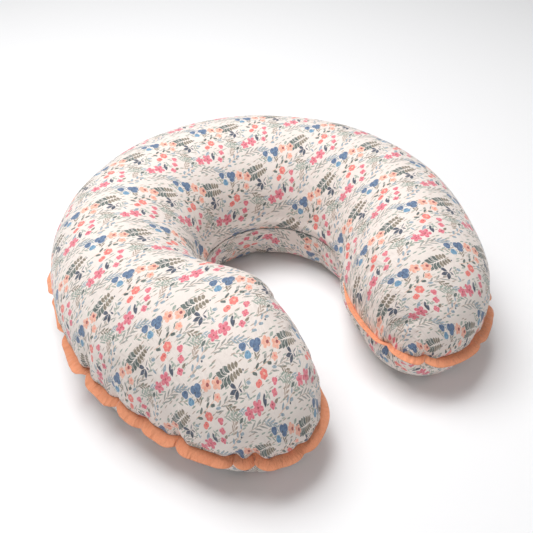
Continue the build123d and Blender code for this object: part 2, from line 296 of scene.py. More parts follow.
def seam_distances(points):
    """Distance round the seam from the middle of the back: at the outer and the inner edge.

    Both grow from the back round each arm's end, the inner one coming back along the arm.
    """
    middle = ARM_STATIONS
    outer = points[:, -1]
    inner = points[:, 0]
    outer_steps = np.linalg.norm(np.diff(outer[:, :2], axis=0), axis=1)
    inner_steps = np.linalg.norm(np.diff(inner[:, :2], axis=0), axis=1)
    outer_run = running_total(outer_steps)
    outer_run -= outer_run[middle]
    inner_run = running_total(inner_steps)
    right = outer_run[-1] + (inner_run[-1] - inner_run)
    left = outer_run[0] - inner_run
    is_right = np.arange(len(outer_run)) >= middle
    return outer_run, np.where(is_right, right, left)


def noise_at(points, scale, seed):
    """Smooth noise from -1 to 1 at each point, with features of about that many millimetres."""
    flat = points.reshape(-1, 3) / scale + seed
    values = [noise.noise(Vector(point)) for point in flat]
    return np.array(values).reshape(points.shape[:-1])


def stretched_noise(run, distance, stretch, layer, scale, seed):
    """Noise drawn out across a panel, for the distance round the seam and across from it."""
    run = np.broadcast_to(run[:, None], distance.shape)
    layers = np.full(distance.shape, layer)
    return noise_at(np.stack([run, distance * stretch, layers], axis=-1), scale, seed)


def tuck_field(run, distance):
    """Inward depth of the seam's tucks at a distance round the seam and up from it."""
    depth = np.zeros(np.broadcast(run, distance).shape)
    fade = np.exp(-((distance / TUCK_REACH) ** 2))
    for place, deep, slant in TUCKS:
        off = (run - place - slant * distance) / TUCK_HALF_WIDTH
        valley = np.exp(-off * off)
        ridges = 0.32 * np.exp(-((np.abs(off) - 2.1) ** 2))
        depth += deep * fade * (valley - ridges)
    return depth


def along_zip(sections):
    """1 beside the zip, falling to 0 a little beyond its ends."""
    angle = np.degrees(sections["run"] / SEAM_RADIUS)
    return (1 - smooth_step((angle - ZIP_HALF_ANGLE - 6) / 14.0))[:, None]


def zip_calm(sections, distance):
    """How far the cloth keeps to its pattern beside the zip, where the slider runs."""
    return along_zip(sections) * np.exp(-((distance / ZIP_CALM_REACH) ** 2))


def overhang(sections, distance):
    """The left arm's crown leans over its inner side, past the seam."""
    along = np.exp(-(((sections["run"] - OVERHANG_RUN) / OVERHANG_SPREAD) ** 2))
    along = along * (sections["side"] < 0)
    up = np.exp(-(((distance - OVERHANG_RISE) / OVERHANG_REACH) ** 2))
    return OVERHANG * along[:, None] * up * (1 - zip_calm(sections, distance))


def shaped_panels(side_inset, top_inset, floor, detail):
    """The two panels with the pinch at the seams, tucks, gathers and soft lumps."""
    sections = all_sections(side_inset, top_inset)
    panels = []
    for upper in (True, False):
        points, distance = panel_grid(sections, upper, floor)
        total = distance[:, -1:]
        to_outer = total - distance
        outer_run, inner_run = seam_distances(points)
        outward = level_outward(sections)
        size = smooth_step(total / 90.0)
        pinch = PINCH * np.exp(-to_outer / PINCH_REACH) * size
        points[..., :2] -= outward * pinch[..., None]
        if upper:
            points[..., :2] -= outward * overhang(sections, distance)[..., None]
        normal = grid_normals(points, upper)
        depth = tuck_field(outer_run[:, None], to_outer)
        near_tip = smooth_step((np.abs(inner_run) - np.abs(outer_run)) / 1.0)
        arm_end = smooth_step((FLANGE_START_Y - points[:, 0, 1] + 12) / 24)
        depth += tuck_field(inner_run[:, None], distance) * arm_end[:, None] * near_tip[:, None]
        signed_run = sections["side"] * sections["run"]
        gathers = stretched_noise(signed_run, distance, 0.22, 3.0 if upper else 9.0, 19.0, 4.3)
        gather_fade = np.exp(-((distance / GATHER_REACH) ** 2)) * smooth_step(distance / 12.0)
        waist_only = 1 - arm_end[:, None]
        ripples = stretched_noise(outer_run, to_outer, 0.35, 5.0 if upper else 2.0, 24.0, 7.7)
        ripple_fade = np.exp(-((to_outer / RIPPLE_REACH) ** 2)) * smooth_step(to_outer / 6.0)
        lumps = 1.9 * noise_at(points, 75.0, 1.5) + 0.6 * noise_at(points, 30.0, 8.5)
        seam_fade = smooth_step(distance / 14.0) * smooth_step(to_outer / 14.0)
        push = lumps * seam_fade
        push += GATHER_DEPTH * gathers * gather_fade * waist_only
        push += RIPPLE_DEPTH * ripples * ripple_fade
        push -= depth * size
        push *= 1 - zip_calm(sections, distance)
        on_floor = smooth_step((points[..., 2] - floor) / 14.0) if not upper else 1.0
        points += normal * (push * on_floor * detail)[..., None]
        points[..., 2] = np.maximum(points[..., 2], floor)
        panels.append({"points": points, "distance": distance, "total": total, "upper": upper})
    for panel in panels:
        panel["outer_run"] = outer_run
        panel["inner_run"] = inner_run
        panel["sections"] = sections
    match_seams(panels)
    return panels


def match_seams(panels):
    """Both panels share the mean line at each seam and one point at each arm's end."""
    top, bottom = panels[0]["points"], panels[1]["points"]
    for row in (0, -1):
        mean = (top[:, row] + bottom[:, row]) / 2
        top_gap = (mean - top[:, row])[:, None, :]
        bottom_gap = (mean - bottom[:, row])[:, None, :]
        shares = np.linspace(0, 1, PANEL_ROWS + 1)
        near = np.exp(-((shares if row == 0 else 1 - shares) / 0.08) ** 2)
        top += top_gap * near[None, :, None]
        bottom += bottom_gap * near[None, :, None]
        top[:, row] = mean
        bottom[:, row] = mean
    for end in (0, -1):
        pole = (top[end, 0] + top[end, -1]) / 2
        top[end] = pole
        bottom[end] = pole


# ======================================================================
# Cloth simulation of the cover
# ======================================================================
SIM_ROW_STEP = 2
SIM_FRAMES = 20
SIM_CAP = 6.0
SIM_CLOTH = {
    "quality": 5,
    "mass": 0.15,
    "tension_stiffness": 25,
    "compression_stiffness": 25,
    "shear_stiffness": 8,
    "bending_stiffness": 0.4,
    "use_pressure": True,
    "uniform_pressure_force": 4.0,
    "shrink_min": -0.035,
}


def ring_faces(rings, size, first=0):
    """Quads that join rings of points, each ring with that many points."""
    faces = []
    for index in range(rings - 1):
        start = first + index * size
        for step in range(size):
            following = (step + 1) % size
            faces.append((start + step, start + size + step, start + size + following, start + following))
    return faces


def ring_mesh(top, bottom):
    """One closed mesh from both panels: rings of points between two end points."""
    rows = top.shape[1] - 1
    ring = np.concatenate([top, bottom[:, rows - 1 : 0 : -1]], axis=1)
    count, size = ring.shape[:2]
    points = np.concatenate([ring[:1, 0], ring[1:-1].reshape(-1, 3), ring[-1:, 0]])
    faces = []
    last = len(points) - 1
    for step in range(size):
        following = (step + 1) % size
        faces.append((0, 1 + step, 1 + following))
        base = 1 + (count - 3) * size
        faces.append((base + step, last, base + following))
    return points, faces + ring_faces(count - 2, size, 1), size


def simulate(panels):
    """Inflates the closed cover with its seams held, and adds the capped moves to both panels."""
    top = panels[0]["points"][:, ::SIM_ROW_STEP]
    bottom = panels[1]["points"][:, ::SIM_ROW_STEP]
    points, faces, size = ring_mesh(top, bottom)
    mesh = bpy.data.meshes.new("inflated")
    mesh.from_pydata((points * MM).tolist(), [], faces)
    obj = bpy.data.objects.new("inflated", mesh)
    bpy.context.scene.collection.objects.link(obj)
    rows = top.shape[1] - 1
    held = [0, len(points) - 1]
    held += [1 + step + index * size for index in range(len(top) - 2) for step in (0, rows)]
    on_floor = np.nonzero(points[:, 2] < 2.0)[0].tolist()
    group = obj.vertex_groups.new(name="held")
    group.add(sorted(set(held + on_floor)), 1.0, "REPLACE")
    cloth = obj.modifiers.new("cloth", "CLOTH")
    for setting, value in SIM_CLOTH.items():
        setattr(cloth.settings, setting, value)
    cloth.settings.vertex_group_mass = "held"
    cloth.settings.effector_weights.gravity = 0
    cloth.collision_settings.use_collision = False
    cloth.point_cache.frame_start = 1
    cloth.point_cache.frame_end = SIM_FRAMES
    for number in range(1, SIM_FRAMES + 1):
        bpy.context.scene.frame_set(number)
    shown = obj.evaluated_get(bpy.context.evaluated_depsgraph_get())
    moved = np.zeros(len(points) * 3)
    shown.data.vertices.foreach_get("co", moved)
    bpy.data.objects.remove(obj)
    bpy.context.scene.frame_set(1)
    move = moved.reshape(-1, 3) / MM - points
    length = np.linalg.norm(move, axis=1, keepdims=True)
    move *= np.minimum(1.0, SIM_CAP / np.maximum(length, 1e-9))
    rings = np.zeros((len(top), size, 3))
    rings[1:-1] = move[1:-1].reshape(-1, size, 3)
    top_move = rings[:, : rows + 1]
    bottom_move = np.concatenate([rings[:, :1], rings[:, : rows - 1 : -1]], axis=1)
    for panel, coarse in zip(panels, (top_move, bottom_move)):
        fine = np.zeros_like(panel["points"])
        fine[:, ::SIM_ROW_STEP] = coarse
        fine[:, 1::2] = (coarse[:, :-1] + coarse[:, 1:]) / 2
        fine[1:-1] = (fine[:-2] + 2 * fine[1:-1] + fine[2:]) / 4
        fine *= 1 - zip_calm(panel["sections"], panel["distance"])[..., None]
        panel["points"] += fine
        panel["points"][..., 2] = np.maximum(panel["points"][..., 2], 0.0)


# ======================================================================
# Meshes
# ======================================================================
def new_object(name, points, faces, smooth=True):
    """A mesh object from points in millimetres."""
    mesh = bpy.data.meshes.new(name)
    mesh.from_pydata((np.asarray(points) * MM).tolist(), [], faces)
    mesh.validate()
    obj = bpy.data.objects.new(name, mesh)
    bpy.context.scene.collection.objects.link(obj)
    if smooth:
        mesh.polygons.foreach_set("use_smooth", [True] * len(mesh.polygons))
    return obj


def panel_faces(count, rows, upper):
    """Faces of a grid whose first and last stations are single points."""
    faces = []
    width = rows + 1

    def number(index, row):
        if index == 0:
            return 0
        if index == count - 1:
            return 1 + (count - 2) * width
        return 1 + (index - 1) * width + row

    for index in range(count - 1):
        for row in range(rows):
            corners = [
                number(index, row),
                number(index + 1, row),
                number(index + 1, row + 1),
                number(index, row + 1),
            ]
            unique = list(dict.fromkeys(corners))
            if not upper:
                unique.reverse()
            faces.append(tuple(unique))
    return faces


def open_grid(values):
    """Values of a grid with each end station reduced to its first entry."""
    return np.concatenate([values[0, :1], values[1:-1].reshape(-1, values.shape[-1]), values[-1, :1]])


def set_print_place(obj, place):
    """Stores where each point of a piece lies on its flat cloth, in millimetres."""
    attribute = obj.data.attributes.new("print_mm", "FLOAT_VECTOR", "POINT")
    attribute.data.foreach_set("vector", place.reshape(-1, 3).astype(np.float32).ravel())


def thicken(obj, thickness):
    """Gives a sheet its thickness in millimetres, inwards."""
    shell = obj.modifiers.new("thickness", "SOLIDIFY")
    shell.thickness = thickness * MM
    shell.offset = -1
    return obj


def panel_object(name, panel, thickness, print_place=None):
    """A cloth panel with thickness, and its flat print coordinates as an attribute."""
    points = panel["points"]
    count, width = points.shape[:2]
    faces = panel_faces(count, width - 1, panel["upper"])
    obj = new_object(name, open_grid(points), faces)
    if print_place is not None:
        set_print_place(obj, open_grid(print_place))
    return thicken(obj, thickness)


def flat_print(panel):
    """Where each point of a panel lay on the flat printed cloth."""
    sections = panel["sections"]
    distance, total = panel["distance"], panel["total"]
    place = np.zeros(panel["points"].shape)
    widest = total.max()
    for side, spine in zip((-1, 1), sections["spines"]):
        chosen = sections["side"] == side
        run = sections["run"][chosen]
        crown = SEAM_Z + sections["height"][chosen]
        order = np.argsort(run)
        ordered_run, ordered_crown = run[order], crown[order]
        steps = np.hypot(np.diff(ordered_run), np.diff(ordered_crown))
        stretched = np.interp(run, ordered_run, ordered_run[0] + running_total(steps))
        x, y, turn = spine.at(stretched)
        middle = 0.5 * widest * np.ones(len(run)) - 25.0
        offset = middle[:, None] + distance[chosen] - total[chosen] / 2
        place[chosen, :, 0] = side * (x[:, None] + np.sin(turn)[:, None] * offset)
        place[chosen, :, 1] = y[:, None] + np.cos(turn)[:, None] * offset
    if not panel["upper"]:
        place[..., 0] = -place[..., 0] + 31.0
        place[..., 1] += 17.0
    return place


def frames_along(points):
    """Two unit normals along a line of points, without twist."""
    tangent = np.gradient(points, axis=0)
    tangent /= np.maximum(np.linalg.norm(tangent, axis=1, keepdims=True), 1e-9)
    side = np.cross(tangent, (0.0, 0.0, 1.0))
    side /= np.maximum(np.linalg.norm(side, axis=1, keepdims=True), 1e-9)
    return side, np.cross(side, tangent)


def tube(name, points, radii, sides=6):
    """A closed round tube along points, with a radius for each."""
    points = np.asarray(points, float)
    radii = np.broadcast_to(np.asarray(radii, float), len(points))
    side, up = frames_along(points)
    angles = np.arange(sides) * 2 * math.pi / sides
    ring = side[:, None] * np.cos(angles)[None, :, None] + up[:, None] * np.sin(angles)[None, :, None]
    body = (points[:, None] + ring * radii[:, None, None]).reshape(-1, 3)
    walls = [face[1:] + face[:1] for face in ring_faces(len(points), sides)]
    first = tuple(range(sides))
    last = tuple(range(len(body) - 1, len(body) - 1 - sides, -1))
    return new_object(name, body, [first, *walls, last])


def join(name, parts):
    """One object from several meshes."""
    points, faces = [], []
    for part in parts:
        start = len(points)
        points += [list(vertex.co / MM) for vertex in part.data.vertices]
        faces += [tuple(start + number for number in face.vertices) for face in part.data.polygons]
        bpy.data.objects.remove(part)
    return new_object(name, points, faces)


def resampled(points, step):
    """Points spaced evenly along a line of points, and their distances along it."""
    lengths = np.linalg.norm(np.diff(points, axis=0), axis=1)
    along = running_total(lengths)
    keep = np.concatenate([[True], lengths > 1e-6])
    wanted = np.linspace(0, along[-1], int(along[-1] / step) + 1)
    line = np.stack([np.interp(wanted, along[keep], points[keep, axis]) for axis in range(3)], axis=1)
    return line, wanted


def stitched_thread(name, line, stitch=3.2, radius=0.3):
    """A thread that dips into the cloth between its stitches."""
    points, along = resampled(line, stitch / 4)
    beat = np.abs(np.sin(math.pi * along / stitch))
    points = points.copy()
    return tube(name, points, radius * (0.45 + 0.55 * np.sqrt(beat)))


# ======================================================================
# Flange
# ======================================================================
FLANGE_WIDTH = 12.5  # its usual width; FLANGE_PROFILE below says where it differs
FLANGE_ROOT = 6.0
FLANGE_HALF_THICKNESS = 0.6
FLANGE_DROOP = math.radians(16)
# Where the flange turns down or up: (seam distance where it starts, where it is full, degrees).
FLANGE_TURNS = ((-790, -840, 45), (800, 850, -42))
FLANGE_STEP = 1.3
# Tucks deeper than PLEAT_TUCK take up cloth in a pleat; from FULL_TUCK on they lift it fully.
PLEAT_TUCK = 3.2
FULL_TUCK = 5.0
PLEAT_CLOTH = 13.0
PLEAT_LENGTH = 9.0
PLEAT_FALL = 26.0
PLEAT_LIFT = 3.4
# Away from the tucks the band is wide and calm; the left arm's side has the narrowest stretch.
CALM_REACH = 30.0
START_TAPER = 55.0
# Across the band: shares of its width, and how full the fold is at each.
FLANGE_SHARES = (0.0, 0.2, 0.4, 0.6, 0.8, 0.93, 1.0)
FLANGE_FULLNESS = (0.7, 0.9, 1.0, 1.05, 1.1, 0.95, 0.15)
# (distance round the seam, how far the flange stands out of it).
FLANGE_PROFILE = (
    (-850, 8.0),
    (-770, 10.5),
    (-700, 13.0),
    (-640, 12.5),
    (-580, 14.0),
    (-530, 12.0),
    (-440, 12.5),
    (-395, 5.5),
    (-345, 6.0),
    (-287, 22.0),
    (-240, 12.0),
    (0, 12.5),
    (560, 13.0),
    (680, 14.0),
    (790, 12.0),
    (850, 10.0),
)


def seam_outward(line, passes):
    """Level unit vectors that point away from the waist along a seam line, smoothed a little."""
    smooth = line.copy()
    for _ in range(passes):
        smooth[1:-1] = (smooth[:-2] + 2 * smooth[1:-1] + smooth[2:]) / 4
    tangent = np.gradient(smooth, axis=0)
    tangent[:, 2] = 0
    tangent /= np.linalg.norm(tangent, axis=1, keepdims=True)
    outward = np.cross((0.0, 0.0, 1.0), tangent)
    middle = len(line) // 2
    from_waist = line[middle][:2] - np.array([0.0, WAIST_Y])
    return outward if np.dot(outward[middle][:2], from_waist) > 0 else -outward


def smooth_noise(places, scale, seed):
    """Noise along a line."""
    return np.array([noise.noise(Vector((place / scale, seed, 0.5))) for place in places])


def flange_path(panels):
    """The seam that holds the flange, from the right arm's inner side round to the left's."""
    edge_outer = panels[0]["points"][:, -1]
    edge_inner = panels[0]["points"][:, 0]
    outer_run, inner_run = panels[0]["outer_run"], panels[0]["inner_run"]
    station = np.arange(len(edge_inner)) - ARM_STATIONS
    held = (edge_inner[:, 1] < FLANGE_START_Y) & (np.abs(station) > ARM_STATIONS // 3)
    right = np.nonzero(held & (station > 0))[0][:-1]
    left = np.nonzero(held & (station < 0))[0][1:]
    line = np.concatenate([edge_inner[right], edge_outer[::-1], edge_inner[left]])
    return line, np.concatenate([inner_run[right], outer_run[::-1], inner_run[left]])


def gathered_cloth(runs, along):
    """Lays the band's cloth along the seam, with a pleat at each deep tuck.

    Gives distances along the cloth, their places along the seam, how far the pleats lift
    the cloth, and how calm it lies, from 0 at a deep tuck to 1 well away from one.
    """
    tuck_places = [float(np.interp(-place, -runs, along)) for place, _, _ in TUCKS]
    depths = np.array([deep for _, deep, _ in TUCKS])
    extra = PLEAT_CLOTH * np.clip((depths - PLEAT_TUCK) / 3.0, 0, 1)
    cloth_total = along[-1] + extra.sum()
    cloth = np.linspace(0, cloth_total, int(cloth_total / FLANGE_STEP))
    place = cloth.copy()
    lift = np.zeros_like(cloth)
    calm = np.ones_like(cloth)
    used = 0.0
    for which in np.argsort(tuck_places):
        start = tuck_places[which] + used + extra[which] / 2
        used += extra[which]
        share = min(depths[which] / FULL_TUCK, 1.0)
        rise = smooth_step((cloth - start) / PLEAT_LENGTH + 0.5)
        fall = 1 - smooth_step((cloth - start - PLEAT_LENGTH / 2) / PLEAT_FALL)
        place -= extra[which] * rise
        lift += PLEAT_LIFT * share * rise * fall
        calm = np.minimum(calm, smooth_step(np.abs(cloth - start) / CALM_REACH + 1 - share))
    return cloth, np.clip(place, 0, along[-1]), lift, calm


def flange_object(panels):
    """The folded band that stands out of the seam, tucked and wavy."""
    line, runs = flange_path(panels)
    along = running_total(np.linalg.norm(np.diff(line, axis=0), axis=1))
    cloth, place, lift, calm = gathered_cloth(runs, along)
    outward = seam_outward(line, 6)
    base = np.stack([np.interp(place, along, line[:, axis]) for axis in range(3)], axis=1)
    out = np.stack([np.interp(place, along, outward[:, axis]) for axis in range(3)], axis=1)
    out /= np.linalg.norm(out, axis=1, keepdims=True)
    run = np.interp(place, along, runs)
    wide = np.interp(run, *zip(*FLANGE_PROFILE)) * (0.74 + 0.26 * calm)
    wide += 1.0 * smooth_noise(cloth, 45.0, 2.1)
    ends = np.minimum(cloth, cloth[-1] - cloth)
    wide *= 0.12 + 0.88 * smooth_step(ends / START_TAPER)
    droop = FLANGE_DROOP + math.radians(13) * smooth_noise(cloth, 60.0, 6.4)
    for start, full, turn in FLANGE_TURNS:
        droop += math.radians(turn) * smooth_step((run - start) / (full - start))
    wave = 2.2 * smooth_noise(cloth, 26.0, 9.2) + (2.6 - 2.0 * calm) * smooth_noise(cloth, 8.0, 3.3)
    curl = 0.006 + 0.012 * smooth_noise(cloth, 38.0, 5.7)
    shares = np.array(FLANGE_SHARES)
    reach = -FLANGE_ROOT + (wide[:, None] + FLANGE_ROOT) * shares[None]
    outside = np.maximum(reach, 0)
    drop = np.sin(droop)[:, None] * outside + curl[:, None] * outside**2
    waved = wave[:, None] * (outside / FLANGE_WIDTH) ** 1.5
    height = -drop + waved + lift[:, None] * (0.35 + 0.65 * shares[None])
    level = np.where(reach > 0, reach * np.cos(droop)[:, None], reach)
    thick = FLANGE_HALF_THICKNESS * np.array(FLANGE_FULLNESS)
    puff = 0.25 * smooth_noise(cloth, 14.0, 1.9)[:, None] * np.sin(math.pi * shares)[None]
    rows = []
    for side, indices in ((1, range(len(shares))), (-1, range(len(shares) - 1, -1, -1))):
        for index in indices:
            point = base + out * level[:, index : index + 1]
            point[:, 2] += height[:, index] + side * (thick[index] + puff[:, index])
            rows.append(point)
    ring = np.stack(rows, axis=1)
    ring[..., 2] = np.maximum(ring[..., 2], 0.3)
    count, size = ring.shape[:2]
    faces = [tuple(range(size)), tuple((count - 1) * size + step for step in range(size - 1, -1, -1))]
    faces += ring_faces(count, size)
    obj = new_object("flange", ring.reshape(-1, 3), [face[::-1] for face in faces])
    coordinates = np.zeros((count, size, 3))
    coordinates[..., 0] = cloth[:, None]
    coordinates[..., 1] = np.concatenate([reach, reach[:, ::-1]], axis=1)
    set_print_place(obj, coordinates)
    return obj


# ======================================================================
# Materials
# ======================================================================
def linear(red, green, blue):
    """A colour given as 0 to 255 in sRGB, as linear RGBA."""
    values = []
    for value in (red, green, blue):
        share = value / 255
        values.append(share / 12.92 if share <= 0.04045 else ((share + 0.055) / 1.055) ** 2.4)
    return (*values, 1.0)


class Shader:
    """A material's node tree with short calls for the nodes it needs."""

    def __init__(self, name):
        self.material = bpy.data.materials.new(name)
        self.material.use_nodes = True
        self.nodes = self.material.node_tree.nodes
        self.links = self.material.node_tree.links
        self.surface = self.nodes["Principled BSDF"]

    def put(self, socket, value):
        """Links a socket or sets a value."""
        if isinstance(value, bpy.types.NodeSocket):
            self.links.new(value, socket)
        elif value is not None:
            socket.default_value = value

    def math(self, operation, first, second=None, third=None, clamp=False):
        node = self.nodes.new("ShaderNodeMath")
        node.operation = operation
        node.use_clamp = clamp
        for socket, value in zip(node.inputs, (first, second, third)):
            self.put(socket, value)
        return node.outputs[0]

    def vector(self, operation, first, second=None, third=None, scale=None):
        node = self.nodes.new("ShaderNodeVectorMath")
        node.operation = operation
        for socket, value in zip(node.inputs, (first, second, third)):
            self.put(socket, value)
        if scale is not None:
            self.put(node.inputs["Scale"], scale)
        return node.outputs["Value" if operation in ("LENGTH", "DISTANCE", "DOT_PRODUCT") else "Vector"]

    def split(self, vector):
        node = self.nodes.new("ShaderNodeSeparateXYZ")
        self.put(node.inputs[0], vector)
        return node.outputs[0], node.outputs[1], node.outputs[2]

    def combine(self, x, y, z):
        node = self.nodes.new("ShaderNodeCombineXYZ")
        for socket, value in zip(node.inputs, (x, y, z)):
            self.put(socket, value)
        return node.outputs[0]

    def mix(self, share, first, second):
        node = self.nodes.new("ShaderNodeMix")
        node.data_type = "RGBA"
        self.put(node.inputs[0], share)
        self.put(node.inputs[6], first)
        self.put(node.inputs[7], second)
        return node.outputs[2]

    def noise(self, vector, scale, detail=2.0, roughness=0.5):
        node = self.nodes.new("ShaderNodeTexNoise")
        self.put(node.inputs["Vector"], vector)
        node.inputs["Scale"].default_value = scale
        node.inputs["Detail"].default_value = detail
        node.inputs["Roughness"].default_value = roughness
        return node.outputs[0]

    def chance(self, vector):
        """A random number from 0 to 1, the same wherever the vector is the same."""
        node = self.nodes.new("ShaderNodeTexWhiteNoise")
        node.noise_dimensions = "2D"
        self.put(node.inputs["Vector"], vector)
        return node.outputs["Value"]

    def attribute(self, name):
        node = self.nodes.new("ShaderNodeAttribute")
        node.attribute_name = name
        return node.outputs["Vector"]

    def object_place(self):
        return self.nodes.new("ShaderNodeTexCoord").outputs["Object"]

    def place_in_mm(self):
        """The object's own coordinates in millimetres."""
        return self.vector("SCALE", self.object_place(), scale=1 / MM)

    def blend(self, first, share, second):
        """The first value at that share, the second at the rest."""
        rest = self.math("MULTIPLY", second, 1 - share)
        return self.math("MULTIPLY_ADD", first, share, rest)

    def finish(self, colour, roughness, normal=None, **plain):
        """Links or sets the surface's inputs, with plain numbers by their names, and gives the material."""
        for name, value in (("Base Color", colour), ("Roughness", roughness), ("Normal", normal)):
            self.put(self.surface.inputs[name], value)
        for name, value in plain.items():
            self.surface.inputs[name.replace("_", " ")].default_value = value
        return self.material

    def bump(self, height, strength, distance, under=None):
        node = self.nodes.new("ShaderNodeBump")
        self.put(node.inputs["Height"], height)
        node.inputs["Strength"].default_value = strength
        node.inputs["Distance"].default_value = distance
        if under is not None:
            self.put(node.inputs["Normal"], under)
        return node.outputs[0]

    def weave(self, place_mm, pitch):
        """Height of a plain weave: crossing threads of that pitch in millimetres."""
        turns = self.vector("SCALE", place_mm, scale=2 * math.pi / pitch)
        x, y, _ = self.split(turns)
        product = self.math("MULTIPLY", self.math("SINE", x), self.math("SINE", y))
        return self.math("MULTIPLY_ADD", product, 0.5, 0.5)


# ---- Shapes of the print. Each returns how far a point lies inside, in millimetres. ----
TILE = 84.0
HALF_TILE = TILE / 2


def placed(shader, place, x, y, angle):
    """A point's two coordinates about one motif, in the nearest repeat, x along the motif."""
    moved = shader.vector("SUBTRACT", place, (x, y, 0.0))
    wrapped = shader.vector("WRAP", moved, (HALF_TILE, HALF_TILE, 1.0), (-HALF_TILE, -HALF_TILE, -1.0))
    cosine = math.cos(math.radians(angle))
    sine = math.sin(math.radians(angle))
    along = shader.vector("DOT_PRODUCT", wrapped, (cosine, sine, 0.0))
    return along, shader.vector("DOT_PRODUCT", wrapped, (-sine, cosine, 0.0))


def radius_of(shader, x, y):
    """Distance of a point from the motif's origin."""
    squares = shader.math("MULTIPLY_ADD", y, y, shader.math("MULTIPLY", x, x))
    return shader.math("SQRT", squares)


def leaf_inside(shader, along, across, length, half_width):
    """A pointed leaf: along from 0 to length, across on either side."""
    left = shader.math("SUBTRACT", length, along)
    rise = shader.math("MULTIPLY", along, left)
    edge = shader.math("MULTIPLY", rise, 4 * half_width / (length * length))
    return shader.math("SUBTRACT", edge, across)


def leaf(shader, x, y, length, half_width):
    """One leaf from the motif's origin along its x axis."""
    return leaf_inside(shader, x, shader.math("ABSOLUTE", y), length, half_width)


def lobes(shader, x, y, count, reach, depth):
    """A flower or lobed leaf with that many round petals and sharp notches between them."""
    turn = shader.math("MULTIPLY", shader.math("ARCTAN2", y, x), count / 2)
    round_off = shader.math("POWER", shader.math("ABSOLUTE", shader.math("COSINE", turn)), 0.7)
    wave = shader.math("MULTIPLY_ADD", round_off, depth * reach, reach * (1 - depth))
    return shader.math("SUBTRACT", wave, radius_of(shader, x, y))


def spray(shader, x, y, length, pitch, leaf_length, leaf_angle, half_width, bend):
    """A bent stem along x with leaves on both sides, set alternately; stem and leaves apart."""
    squared = shader.math("MULTIPLY", x, x)
    off = shader.math("MULTIPLY_ADD", squared, bend, y)
    away = shader.math("ABSOLUTE", off)
    slope = 1 / math.tan(math.radians(leaf_angle))
    base = shader.math("MULTIPLY_ADD", away, -slope, x)
    shifted = shader.math("MULTIPLY_ADD", shader.math("SIGN", off), pitch / 4, base)
    local = shader.math("WRAP", shifted, pitch / 2, -pitch / 2)
    slant = math.sin(math.radians(leaf_angle))
    across = shader.math("ABSOLUTE", shader.math("MULTIPLY", local, slant))
    along = shader.math("DIVIDE", away, slant)
    leaves = leaf_inside(shader, along, across, leaf_length, half_width)
    from_middle = shader.math("ABSOLUTE", shader.math("SUBTRACT", base, length / 2))
    within = shader.math("SUBTRACT", length / 2, from_middle)
    leaves = shader.math("MINIMUM", leaves, within)
    stem = shader.math("MINIMUM", shader.math("SUBTRACT", 0.3, away), within)
    return stem, leaves


SHARPNESS = 2.6
HALO = 0.55
FADE = 0.16
# Loose leaves: cell size, length, half width, lean, colour.
LOOSE_LEAVES = (
    (9.0, 6.4, 0.85, 0.5, "sage"),
    (10.0, 7.0, 0.6, -0.7, "brown"),
)


def cover_share(shader, inside):
    """How much a shape covers a point, with a soft edge."""
    return shader.math("MULTIPLY_ADD", inside, SHARPNESS, 0.5, clamp=True)


GROUND = linear(237, 226, 219)
INK = {
    "green": (linear(54, 72, 72), linear(110, 126, 120)),
    "stone": (linear(104, 112, 116), linear(150, 154, 154)),
    "olive": (linear(104, 98, 84), linear(158, 146, 128)),
    "blue": (linear(56, 88, 128), linear(106, 138, 172)),
    "light_blue": (linear(74, 134, 172), linear(132, 174, 200)),
    "slate": (linear(30, 44, 64), linear(80, 98, 120)),
    "pink": (linear(212, 84, 112), linear(242, 150, 160)),
    "peach": (linear(240, 160, 134), linear(248, 202, 184)),
    "coral": (linear(232, 98, 96), linear(246, 150, 138)),
    "red": (linear(142, 52, 62), linear(184, 96, 92)),
    "sage": (linear(128, 146, 136), linear(178, 188, 176)),
    "grey_blue": (linear(124, 146, 160), linear(172, 188, 198)),
    "grey": (linear(132, 134, 130), linear(180, 180, 174)),
    "orange": (linear(222, 164, 132), linear(238, 194, 168)),
    "brown": (linear(160, 140, 126), linear(196, 178, 164)),
}

# Sprays: x, y, angle, length, pitch, leaf length, leaf angle, half width, bend, stem, leaves.
SPRAYS = (
    (-36, -33, 4, 38, 7.6, 11.0, 30, 0.95, 0.006, "brown", "grey"),
    (-4, 12, -8, 32, 11.0, 6.6, 52, 1.90, -0.006, "orange", "green"),
    (-10, -33, -26, 20, 5.0, 7.6, 36, 0.95, 0.010, "grey_blue", "grey_blue"),
    (14, -36, 8, 30, 10.5, 6.4, 52, 1.85, -0.007, "orange", "grey_blue"),
    (20, 2, 14, 34, 9.4, 10.0, 32, 1.05, 0.008, "brown", "grey"),
    (-36, -10, -30, 16, 4.4, 6.2, 38, 0.95, 0.010, "grey_blue", "grey_blue"),
    (27, -26, 30, 17, 5.2, 7.4, 36, 1.05, -0.012, "brown", "brown"),
    (36, 2, -40, 15, 5.0, 6.4, 40, 1.05, 0.010, "brown", "olive"),
    (-40, -24, 10, 15, 6.0, 6.6, 40, 1.05, 0.010, "brown", "sage"),
    (-16, 38, -20, 22, 7.4, 6.6, 40, 1.05, 0.010, "brown", "sage"),
    (8, 18, 64, 12, 5.0, 6.6, 36, 1.10, 0.010, "brown", "olive"),
    (28, -6, -14, 21, 4.6, 9.0, 40, 1.05, 0.012, "grey", "sage"),
    (-23, -1, 30, 14, 5.6, 6.0, 44, 0.95, -0.010, "grey", "sage"),
)
